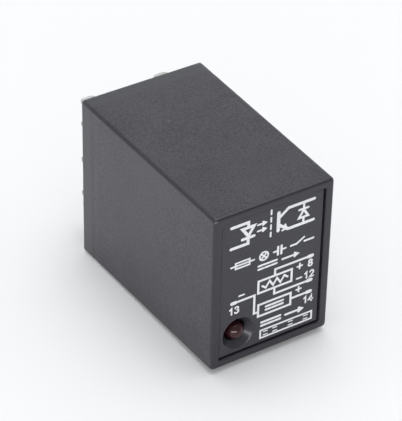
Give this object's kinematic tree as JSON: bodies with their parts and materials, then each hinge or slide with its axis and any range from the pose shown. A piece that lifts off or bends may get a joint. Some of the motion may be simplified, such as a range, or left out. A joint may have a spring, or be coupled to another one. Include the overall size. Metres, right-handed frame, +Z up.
{
  "type": "solid state relay",
  "caption": "Slim box-shaped plug-in solid state relay with flat blade terminals at one end and an indicator lamp in the label plate at the other.",
  "frame": {"origin": "middle of the underside of the whole object's box, as it lies on one narrow side", "axes": "+X across the label end to the right as it is read, +Y from the label end to the blade tips, +Z up"},
  "size_m": [0.0216, 0.042, 0.028],
  "materials": {
    "case_plastic": "fine matt moulded grain",
    "plate_plastic": "semi-gloss, with white printing",
    "base_plastic": "glass-filled, satin",
    "terminal_metal": "bright silver plate over brass",
    "board_laminate": "glass-epoxy laminate with a green mask",
    "solder": "bright solder",
    "sheet_aluminium": "rolled sheet, satin",
    "thermal_pad": "soft silicone pad",
    "black_epoxy": "moulded epoxy",
    "lead_frame": "tinned copper strip",
    "bush_plastic": "plain moulded",
    "washer_steel": "plain spring steel",
    "screw_steel": "zinc plated",
    "coupler_plastic": "moulded epoxy",
    "plate_print": "printed ink",
    "lens_red": "tinted clear epoxy",
    "resistor_blue": "lacquered, with colour bands",
    "resistor_tan": "lacquered, with colour bands",
    "zener_glass": "amber glass",
    "absorber_blue": "dipped epoxy",
    "capacitor_brown": "dipped epoxy",
    "tinned_wire": "tinned copper wire",
    "sleeve_yellow": "varnished tubing"
  },
  "bodies": {
    "chassis": {"base": "base_plastic", "terminal_1": "terminal_metal", "terminal_4": "terminal_metal", "terminal_5": "terminal_metal", "terminal_8": "terminal_metal", "terminal_9": "terminal_metal", "terminal_12": "terminal_metal", "terminal_13": "terminal_metal", "terminal_14": "terminal_metal", "circuit_board": "board_laminate", "solder_joints": "solder", "heat_sink": "sheet_aluminium", "insulating_pad": "thermal_pad", "power_transistor_body": "black_epoxy", "power_transistor_frame": "lead_frame", "insulating_bush": "bush_plastic", "spring_washer": "washer_steel", "clamp_screw": "screw_steel", "photocoupler_body": "coupler_plastic", "photocoupler_leads": "lead_frame", "indicator_lens": "lens_red", "indicator_leads": "lead_frame", "input_resistor_body": "resistor_blue", "input_resistor_leads": "tinned_wire", "small_resistor_bodies": "resistor_tan", "small_resistor_leads": "tinned_wire", "limiter_transistor_bodies": "black_epoxy", "limiter_transistor_leads": "lead_frame", "input_diode_body": "black_epoxy", "input_diode_leads": "tinned_wire", "flyback_diode_body": "black_epoxy", "flyback_diode_leads": "tinned_wire", "zener_diode_body": "zener_glass", "zener_diode_leads": "tinned_wire", "surge_absorber_body": "absorber_blue", "surge_absorber_leads": "tinned_wire", "capacitor_body": "capacitor_brown", "capacitor_leads": "tinned_wire", "link_wire": "tinned_wire", "link_sleeve": "sleeve_yellow"},
    "cover": {"case": "case_plastic", "front_plate": "plate_plastic"}
  },
  "joints": [
    {"name": "cover_slide", "type": "slide", "parent": "chassis", "child": "cover", "axis": [0, -1, 0], "range_m": [0, 0.038]}
  ]
}
